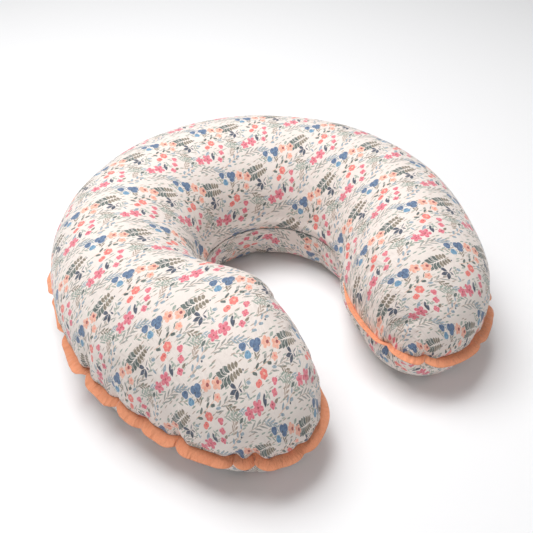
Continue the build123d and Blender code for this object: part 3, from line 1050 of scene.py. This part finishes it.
# Flowers: x, y, angle, petals, reach, depth, colour, eye colour, eye radius, eye shift.
FLOWERS = (
    (-24, -19, 10, 5, 6.6, 0.52, "pink", "red", 0.9, 0.0),
    (-11, -19, 40, 5, 7.8, 0.52, "pink", "red", 1.1, 0.0),
    (27, 30, 160, 5, 6.6, 0.40, "peach", "red", 1.9, -2.0),
    (39, 24, 200, 5, 6.4, 0.40, "peach", "red", 1.9, -2.0),
    (11, 4, 20, 6, 5.4, 0.20, "coral", "peach", 1.4, 0.8),
    (1, -1, 15, 2, 4.4, 0.42, "coral", "red", 0.7, 1.4),
    (32, 13, 30, 5, 4.6, 0.30, "peach", "coral", 1.2, 0.4),
    (17, -16, 50, 4, 4.2, 0.34, "pink", "coral", 0.9, 0.6),
    (22, -7, 10, 3, 4.0, 0.34, "pink", "coral", 0.9, 0.6),
    (9, -25, 80, 4, 4.2, 0.34, "pink", "red", 0.8, 0.6),
    (-1, 38, 20, 3, 4.6, 0.20, "blue", "slate", 0.7, 2.2),
    (1, 28, 75, 3, 4.4, 0.20, "light_blue", "blue", 0.8, 2.0),
    (14, 33, 20, 3, 7.6, 0.42, "blue", "slate", 1.0, -3.0),
)
# Single leaves and buds: x, y, angle, length, half width, colour.
LEAVES = (
    (3, -11, 250, 13.0, 2.6, "slate"),
    (-1, -8, 214, 11.5, 2.0, "grey_blue"),
    (6, -9, 282, 10.5, 1.4, "sage"),
    (-26, 6, 172, 11.0, 2.5, "slate"),
    (-26, 6, 226, 10.0, 2.4, "slate"),
    (-27, 8, 122, 9.6, 2.2, "slate"),
    (-24, 7, 286, 6.0, 1.0, "slate"),
    (-25, 7, 26, 9.0, 0.6, "slate"),
    (40, 36, 210, 7.0, 1.9, "sage"),
    (-8, 4, 150, 6.5, 2.0, "grey_blue"),
    (2, -16, 20, 7.0, 1.3, "sage"),
    (37, -12, 60, 6.0, 1.6, "sage"),
    (-17, -8, 95, 7.5, 1.2, "grey_blue"),
    (18, 16, 40, 6.4, 1.7, "grey"),
    (14, -30, 150, 6.0, 1.2, "sage"),
    (36, -34, 100, 2.6, 1.2, "slate"),
    (12, -25, 20, 8.0, 1.7, "olive"),
    (31, 3, 160, 7.5, 1.6, "grey_blue"),
    (-34, -18, 200, 8.0, 1.8, "green"),
    (-12, 18, 40, 2.4, 1.1, "slate"),
)
# The leafy cluster is laid out along its twig: dark leaves first, small olive ones last.
CLUSTER_PLACE = (-38.0, 24.0)
CLUSTER_TURN = -2.0
CLUSTER_LEAVES = 15
CLUSTER_LENGTH = 23.0


def cluster_leaves():
    """The cluster's leaves: x, y, angle, length, half width, colour."""
    leaves = []
    heading = math.radians(CLUSTER_TURN)
    for number in range(CLUSTER_LEAVES):
        share = number / (CLUSTER_LEAVES - 1)
        side = 1 if number % 2 else -1
        x = CLUSTER_PLACE[0] + CLUSTER_LENGTH * share * math.cos(heading)
        y = CLUSTER_PLACE[1] + CLUSTER_LENGTH * share * math.sin(heading) + side / 2
        angle = CLUSTER_TURN + 180 - side * (14 + 92 * share ** 0.7)
        ink = "green" if share < 0.55 else "olive"
        leaves.append((x, y, angle, 12.4 - 6.0 * share, 3.3 - 1.3 * share, ink))
    middle = CLUSTER_LENGTH * 0.45
    leaves.insert(7, (CLUSTER_PLACE[0] + middle, CLUSTER_PLACE[1] + 1, CLUSTER_TURN + 108, 9.0, 3.4, "stone"))
    return leaves


def floral_print(shader, place):
    """Colour of the printed cloth at flat coordinates in millimetres."""
    wash = shader.noise(place, 0.36, 3.0, 0.6)
    blot = shader.noise(place, 1.5, 2.0, 0.5)
    wobble = shader.math("MULTIPLY_ADD", blot, 0.6, -0.3)
    tone = shader.math("MULTIPLY_ADD", wash, 3.4, -1.25, clamp=True)
    colour = GROUND

    def paint(colour, inside, ink, halo=False):
        inside = shader.math("ADD", inside, wobble)
        if halo:
            rim = shader.math("ADD", inside, HALO)
            colour = shader.mix(cover_share(shader, rim), colour, GROUND)
        toned = shader.mix(tone, *INK[ink])
        return shader.mix(cover_share(shader, inside), colour, toned)

    # Small loose leaves fill the ground between the placed motifs.
    for cell, length, width, lean, ink in LOOSE_LEAVES:
        scaled = shader.vector("SCALE", place, scale=1 / cell)
        cells = shader.nodes.new("ShaderNodeTexVoronoi")
        cells.voronoi_dimensions = "2D"
        cells.inputs["Scale"].default_value = 1.0
        cells.inputs["Randomness"].default_value = 0.75
        shader.put(cells.inputs["Vector"], scaled)
        offset = shader.vector("SUBTRACT", scaled, cells.outputs["Position"])
        x, y, _ = shader.split(shader.vector("SCALE", offset, scale=cell))
        x = shader.math("MULTIPLY_ADD", y, lean, shader.math("ADD", x, length / 2))
        chance = shader.chance(cells.outputs["Position"])
        seldom = shader.math("MULTIPLY_ADD", chance, 8.0, -2.4)
        inside = leaf(shader, x, y, length, width)
        colour = paint(colour, shader.math("MINIMUM", inside, seldom), ink)

    for x, y, angle, length, pitch, leaf_length, leaf_angle, width, bend, stem_ink, leaf_ink in SPRAYS:
        point = placed(shader, place, x, y, angle)
        stem, leaves = spray(shader, *point, length, pitch, leaf_length, leaf_angle, width, bend)
        colour = paint(colour, stem, stem_ink)
        colour = paint(colour, leaves, leaf_ink)
    for x, y, angle, length, width, ink in (*LEAVES, *cluster_leaves()):
        point = placed(shader, place, x, y, angle)
        colour = paint(colour, leaf(shader, *point, length, width), ink, halo=True)
    for x, y, angle, count, reach, depth, ink, eye_ink, eye, shift in FLOWERS:
        point = placed(shader, place, x, y, angle)
        colour = paint(colour, lobes(shader, *point, count, reach, depth), ink, halo=True)
        beside = shader.math("SUBTRACT", point[0], shift)
        centre = radius_of(shader, beside, point[1])
        colour = paint(colour, shader.math("SUBTRACT", eye, centre), eye_ink)
    faded = shader.math("MULTIPLY", blot, FADE)
    return shader.mix(faded, colour, GROUND)


def cotton(name, colour_of, pitch, roughness, sheen, crease, cross_crease):
    """Woven cotton: weave bump, fine creases and a colour worked out by colour_of."""
    shader = Shader(name)
    place = shader.attribute("print_mm")
    colour = colour_of(shader, place)
    fibre = shader.noise(place, 2.4, 3.0, 0.6)
    weave = shader.weave(place, pitch)
    shade = shader.math("MULTIPLY_ADD", weave, 0.05, 0.95)
    shade = shader.math("MULTIPLY", shade, shader.math("MULTIPLY_ADD", fibre, 0.08, 0.96))
    tinted = shader.vector("SCALE", colour, scale=shade)
    rough = shader.math("MULTIPLY_ADD", fibre, 0.12, roughness - 0.06)
    wrinkle = shader.noise(shader.object_place(), 55.0, 3.0, 0.55)
    across = shader.noise(shader.vector("MULTIPLY", place, (0.16, 0.05, 1.0)), 1.0, 3.0, 0.6)
    under = shader.bump(wrinkle, crease, 0.0016)
    under = shader.bump(across, 1.0, cross_crease, under)
    normal = shader.bump(weave, 0.25, 0.00012, under)
    plain = {"Sheen Weight": sheen, "Sheen Roughness": 0.45, "Specular IOR Level": 0.25}
    return shader.finish(tinted, rough, normal, **plain)


def flange_colour(shader, place):
    """Plain salmon cotton, a little darker and lighter in broad patches and slubby along the threads."""
    stretched = shader.vector("MULTIPLY", place, (0.25, 1.6, 1.0))
    slub = shader.noise(stretched, 0.9, 3.0, 0.6)
    patch = shader.noise(place, 0.05, 2.0, 0.5)
    share = shader.blend(slub, 0.5, patch)
    return shader.mix(share, linear(238, 146, 106), linear(252, 178, 138))


def woven(name, dark, light, pitch, roughness, sheen=0.15):
    """Plain woven or spun cloth placed by the object's own coordinates."""
    shader = Shader(name)
    place = shader.place_in_mm()
    weave = shader.weave(place, pitch)
    fibre = shader.noise(place, 0.9, 3.0, 0.6)
    share = shader.blend(weave, 0.4, fibre)
    colour = shader.mix(share, dark, light)
    rough = shader.math("MULTIPLY_ADD", fibre, 0.15, roughness)
    return shader.finish(colour, rough, shader.bump(share, 0.35, 0.0002), Sheen_Weight=sheen)


def brushed_metal(name, dark, light):
    """Nickel-plated zinc with fine scratches and worn, paler patches."""
    shader = Shader(name)
    place = shader.place_in_mm()
    streaks = shader.noise(shader.vector("MULTIPLY", place, (1.0, 1.0, 9.0)), 1.6, 4.0, 0.65)
    patches = shader.noise(place, 0.35, 2.0, 0.5)
    colour = shader.mix(shader.blend(streaks, 0.6, patches), dark, light)
    rough = shader.math("MULTIPLY_ADD", streaks, 0.25, 0.18)
    return shader.finish(colour, rough, shader.bump(streaks, 0.15, 0.00008), Metallic=1.0)


def fibre_material(name):
    """White polyester fibre: tangled, soft and full of fine shadows."""
    shader = Shader(name)
    place = shader.place_in_mm()
    sideways = shader.math("MULTIPLY", shader.noise(place, 0.08), 30.0)
    bent = shader.vector("ADD", place, shader.combine(sideways, 0.0, 0.0))
    strands = shader.noise(shader.vector("MULTIPLY", bent, (0.3, 2.2, 0.8)), 0.5, 6.0, 0.75)
    clumps = shader.noise(place, 0.04, 3.0, 0.6)
    share = shader.blend(strands, 0.6, clumps)
    colour = shader.mix(share, linear(206, 206, 204), linear(248, 248, 246))
    return shader.finish(colour, 0.95, shader.bump(strands, 0.8, 0.001), Sheen_Weight=0.5)


def nylon_wire(name):
    """Pale nylon, a little cloudy and translucent."""
    shader = Shader(name)
    place = shader.place_in_mm()
    cloud = shader.noise(place, 0.6, 3.0, 0.5)
    colour = shader.mix(cloud, linear(214, 208, 200), linear(242, 238, 232))
    rough = shader.math("MULTIPLY_ADD", cloud, 0.2, 0.22)
    normal = shader.bump(shader.noise(place, 3.0, 2.0, 0.5), 0.1, 0.0001)
    return shader.finish(colour, rough, normal, Subsurface_Weight=0.1)


def dress(obj, material, body, slot_name, *nodes):
    """Gives a piece its material and body, and hides the CAD nodes it stands for; its slot name is not used.
    """
    obj.data.materials.clear()
    obj.data.materials.append(material)
    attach(obj, body)
    if nodes:
        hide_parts(*nodes)
    return obj


# ======================================================================
# Build the pieces
# ======================================================================
panels = shaped_panels(0.0, 0.0, 0.0, 1.0)
simulate(panels)
top_panel, bottom_panel = panels


def open_seams(panels):
    """Leaves room at the seams for the flange, and a slit along the zip."""
    sections = panels[0]["sections"]
    angle = np.degrees(sections["run"] / SEAM_RADIUS)
    zip_share = 1 - smooth_step((angle - ZIP_HALF_ANGLE - 1.0) / 3.0)
    edge_y = panels[0]["points"][:, 0, 1]
    flange_share = smooth_step((FLANGE_START_Y - edge_y) / 4.0) * (angle > 90)
    inner_gap = 0.12 + 0.88 * np.maximum(zip_share, flange_share)
    for panel, direction in zip(panels, (1, -1)):
        distance, total = panel["distance"], panel["total"]
        near_inner = np.exp(-distance / 5.0) * inner_gap[:, None]
        near_outer = np.exp(-(total - distance) / 5.0)
        near_outer[0] = near_outer[-1] = 1.0
        panel["points"][..., 2] += direction * np.maximum(near_inner, near_outer) * SEAM_OPENING
        inset = (ZIP_INSET * zip_calm(sections, distance))[..., None]
        panel["points"][..., :2] += level_outward(sections) * inset


def placket(panel):
    """The top panel's edge rolls over a little above the zip, as a hem does."""
    sections = panel["sections"]
    above = panel["points"][..., 2] - SEAM_Z
    roll = 2.4 * np.exp(-(((above - 10.0) / 4.5) ** 2)) * smooth_step((60 - panel["distance"]) / 30)
    panel["points"][..., :2] -= level_outward(sections) * (roll * along_zip(sections))[..., None]


seam_panels = [{**panel, "points": panel["points"].copy()} for panel in panels]
open_seams(panels)
placket(top_panel)

printed = cotton("printed_cotton", floral_print, 0.55, 0.78, 0.25, 0.6, 0.0014)
COVER_CLOTH = 1.0
top = panel_object("cover_top", top_panel, COVER_CLOTH, flat_print(top_panel))
dress(top, printed, "pillow", "printed_cotton", "cover_top_panel")
bottom = panel_object("cover_bottom", bottom_panel, COVER_CLOTH, flat_print(bottom_panel))
dress(bottom, printed, "pillow", "printed_cotton", "cover_bottom_panel")

flange = flange_object(seam_panels)
salmon = cotton("flange_cotton", flange_colour, 0.6, 0.8, 0.3, 0.5, 0.005)
dress(flange, salmon, "pillow", "flange_cotton", "flange_trim")


def seam_line(panels, inset, height):
    """A line just inside the flange's seam, at a height above it."""
    line, _ = flange_path(panels)
    moved = line - seam_outward(line, 4) * inset
    moved[:, 2] = line[:, 2] + height
    return moved


THREAD_INSET = 4.2
THREAD_RISE = 1.35
thread_cloth = woven("sewing_thread", linear(206, 200, 194), linear(246, 242, 236), 0.25, 0.6)
upper_thread = stitched_thread("thread_above", seam_line(seam_panels, THREAD_INSET, THREAD_RISE))
lower_thread = stitched_thread("thread_below", seam_line(seam_panels, THREAD_INSET, -THREAD_RISE))
outer_thread = join("outer_seam_stitches", [upper_thread, lower_thread])
dress(outer_thread, thread_cloth, "pillow", "sewing_thread", "outer_seam_thread")


def inner_thread_lines(panels):
    """The plain stretch of inner seam on each arm, between the zip's end and the flange."""
    sections = panels[0]["sections"]
    angle = np.degrees(sections["run"] / SEAM_RADIUS)
    edge = panels[0]["points"][:, 0]
    outward = np.stack([sections["out_x"], sections["out_y"], np.zeros(len(edge))], axis=1)
    lines = []
    for side in (-1, 1):
        plain = (angle > ZIP_HALF_ANGLE + 4) & (edge[:, 1] > FLANGE_START_Y)
        chosen = plain & (sections["side"] == side)
        lines.append((edge + outward * THREAD_INSET)[chosen])
    return lines


plain_seam = [stitched_thread("thread_side", line, 2.6) for line in inner_thread_lines(seam_panels)]
inner_thread = join("inner_seam_stitches", plain_seam)
dress(inner_thread, thread_cloth, "pillow", "sewing_thread", "inner_seam_thread")


# ---- Zip coil: a nylon wire wound round each tape's edge ----
COIL_PITCH = 1.55
COIL_WIRE = 0.3
COIL_HALF_DEPTH = 0.72
COIL_HALF_HEIGHT = 1.55
STOP_SPAN = 2.2  # degrees at each end that the zip's stops take up


def coil_line(height):
    """Points along one row of the zip's wound wire."""
    span = math.radians(2 * (ZIP_HALF_ANGLE - STOP_SPAN))
    turns = int(span * COIL_RADIUS / COIL_PITCH)
    phase = np.linspace(0, turns * 2 * math.pi, turns * 14)
    angle = np.linspace(-span / 2, span / 2, len(phase))
    radius = COIL_RADIUS + COIL_HALF_DEPTH * np.cos(phase)
    x = radius * np.sin(angle)
    y = WAIST_Y + radius * np.cos(angle)
    z = SEAM_Z + height + COIL_HALF_HEIGHT * np.sin(phase) * math.copysign(1, height)
    return np.stack([x, y, z], axis=1)


coil_nylon = nylon_wire("zip_coil")
for name, height, node in (
    ("zip_teeth_upper", COIL_HEIGHT, "zip_coil_upper"),
    ("zip_teeth_lower", -COIL_HEIGHT, "zip_coil_lower"),
):
    teeth = tube(name, coil_line(height), COIL_WIRE)
    dress(teeth, coil_nylon, "pillow", "zip_coil", node)

# ---- Casing, its seam, and the filling ----
CASING_SIDE_INSET = 11.5
CASING_TOP_INSET = 7.5
CASING_CLOTH = 0.8
FILL_SIDE_GAP, FILL_TOP_GAP = 1.6, 1.8
CASING_OPENING = 60.0  # half the stretch of its back that is closed by hand
casing_cloth = woven("casing_cotton", linear(226, 222, 214), linear(248, 246, 240), 0.5, 0.8)
casing_panels = shaped_panels(CASING_SIDE_INSET, CASING_TOP_INSET, 3.0, 0.35)
CASING_NAMES = (("casing_upper", "casing_top"), ("casing_lower", "casing_bottom"))
for panel, (name, node) in zip(casing_panels, CASING_NAMES):
    piece = panel_object(name, panel, CASING_CLOTH)
    dress(piece, casing_cloth, "pillow", "casing_cotton", node)


def closed_form(name, panels):
    """One closed mesh from two panels that share their seams."""
    points, faces, _ = ring_mesh(panels[0]["points"], panels[1]["points"])
    return new_object(name, points, faces)


fill_side, fill_top = CASING_SIDE_INSET + FILL_SIDE_GAP, CASING_TOP_INSET + FILL_TOP_GAP
fill_panels = shaped_panels(fill_side, fill_top, 5.0, 0.5)
fill = closed_form("filling", fill_panels)
dress(fill, fibre_material("polyester_fibre"), "pillow", "polyester_fibre", "fibre_fill")

casing_edge = casing_panels[0]["points"][:, -1]
is_open = np.abs(casing_edge[:, 0]) < CASING_OPENING
is_back = casing_edge[:, 1] > 0
outline = np.concatenate([casing_edge, casing_panels[0]["points"][::-1, 0]])
closing = np.concatenate([is_open & is_back, np.zeros(len(casing_edge), bool)])
first = int(np.nonzero(closing)[0].max()) + 1
rolled = np.concatenate([outline[first:], outline[: int(np.nonzero(closing)[0].min())]])
casing_thread = stitched_thread("casing_stitches", rolled, 2.6, 0.32)
dress(casing_thread, thread_cloth, "pillow", "sewing_thread", "casing_seam_thread")


# ---- Labels: soft satin patches on the filled form, blank ----
LABEL_WIDTH, LABEL_LENGTH = 30.0, 44.0
LABEL_COLUMNS, LABEL_ROWS = 18, 24
LABEL_CLOTH = 0.4


def label_object(name, node, inset):
    """A blank label that follows the cover from inside."""
    low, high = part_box(node)
    middle = np.array([(low.x + high.x) / 2, (low.y + high.y) / 2]) / MM - np.array([0.0, WAIST_Y])
    facing = math.atan2(middle[0], middle[1])
    centre_radius = np.hypot(*middle)
    sections = top_panel["sections"]
    signed = sections["side"] * sections["run"] / SEAM_RADIUS
    points = []
    for column in range(LABEL_COLUMNS + 1):
        sideways = (column / LABEL_COLUMNS - 0.5) * LABEL_WIDTH
        angle = facing + sideways / centre_radius
        index = int(np.argmin(np.abs(signed - angle)))
        outer_half = top_panel["points"][index, PANEL_ROWS // 2 :]
        radial = np.hypot(outer_half[:, 0], outer_half[:, 1] - WAIST_Y)
        order = np.argsort(radial)
        for row in range(LABEL_ROWS + 1):
            radius = centre_radius + (row / LABEL_ROWS - 0.5) * LABEL_LENGTH
            z = np.interp(radius, radial[order], outer_half[order, 2])
            dip = inset + 0.25 * math.sin(row * 0.9 + column * 0.5)
            points.append([radius * math.sin(angle), WAIST_Y + radius * math.cos(angle), z - dip])
    faces = []
    for column in range(LABEL_COLUMNS):
        for row in range(LABEL_ROWS):
            base = column * (LABEL_ROWS + 1) + row
            faces.append((base, base + LABEL_ROWS + 1, base + LABEL_ROWS + 2, base + 1))
    return thicken(new_object(name, points, faces), LABEL_CLOTH)


satin = woven("label_satin", linear(222, 220, 216), linear(246, 245, 242), 0.35, 0.42, 0.3)
for name, node, inset in (("label_law", "law_label", 3.2), ("label_care", "care_label", 2.7)):
    dress(label_object(name, node, inset), satin, "pillow", "label_satin", node)

# ---- CAD nodes that stay, with their finished materials ----
tape_cloth = woven("zip_tape", linear(214, 208, 198), linear(240, 236, 228), 0.45, 0.7)
metal = brushed_metal("zip_metal", linear(150, 150, 152), linear(214, 214, 214))
KEPT = {
    "zip_tape_upper": tape_cloth,
    "zip_tape_lower": tape_cloth,
    "zip_tape_thread": thread_cloth,
    "zip_top_stops": metal,
    "zip_bottom_stop": metal,
    "casing_closing_stitches": thread_cloth,
    "zip_slider": metal,
    "zip_pull_tab": metal,
}
for name, material in KEPT.items():
    node = frame["nodes"][name]
    node.data.materials.clear()
    node.data.materials.append(material)

# ======================================================================
# Floor, lights and camera
# ======================================================================
FLOOR_HALF = 6000.0
FLOOR_CORNERS = ((-1, -1), (1, -1), (1, 1), (-1, 1))
floor_points = [(x * FLOOR_HALF, y * FLOOR_HALF, 0) for x, y in FLOOR_CORNERS]
floor = new_object("floor", floor_points, [(0, 1, 2, 3)], smooth=False)
floor_paint = Shader("floor")
floor.data.materials.append(floor_paint.finish(linear(244, 244, 245), 0.9))


def area_light(name, place, target, size, power):
    """A square soft light aimed at a point, all in metres."""
    light = bpy.data.lights.new(name, "AREA")
    light.size = size
    light.energy = power
    obj = bpy.data.objects.new(name, light)
    bpy.context.scene.collection.objects.link(obj)
    obj.location = place
    obj.rotation_euler = (Vector(target) - Vector(place)).to_track_quat("-Z", "Y").to_euler()


pillow_middle = (0.0, WAIST_Y * MM, 0.08)
area_light("softbox_above", (-0.2, 0.5, 1.9), pillow_middle, 1.3, 40)
area_light("softbox_left", (-1.7, -0.9, 1.3), pillow_middle, 1.4, 5)
area_light("softbox_right", (1.6, -1.2, 1.4), pillow_middle, 1.4, 3)

world = bpy.data.worlds.new("studio")
world.use_nodes = True
sky = world.node_tree.nodes["Background"]
sky.inputs["Color"].default_value = (1.0, 1.0, 1.0, 1.0)
sky.inputs["Strength"].default_value = 0.27
bpy.context.scene.world = world
bpy.context.scene.view_settings.view_transform = "Standard"

CAMERA_AZIMUTH = math.radians(-33.0)
CAMERA_ELEVATION = math.radians(41.6)
CAMERA_DISTANCE = 0.916
CAMERA_LENS = 47.2
CAMERA_SHIFT = (-0.011, 0.0167)
CAMERA_TARGET = Vector((0.0, WAIST_Y * MM, 0.060))
camera_data = bpy.data.cameras.new("camera")
camera_data.lens = CAMERA_LENS
camera_data.sensor_width = 36
camera_data.shift_x, camera_data.shift_y = CAMERA_SHIFT
camera = bpy.data.objects.new("camera", camera_data)
bpy.context.scene.collection.objects.link(camera)
back = Vector(
    (
        math.sin(CAMERA_AZIMUTH) * math.cos(CAMERA_ELEVATION),
        -math.cos(CAMERA_AZIMUTH) * math.cos(CAMERA_ELEVATION),
        math.sin(CAMERA_ELEVATION),
    )
)
camera.location = CAMERA_TARGET + back * CAMERA_DISTANCE
camera.rotation_mode = "QUATERNION"
camera.rotation_quaternion = (-back).to_track_quat("-Z", "Y")
bpy.context.scene.camera = camera
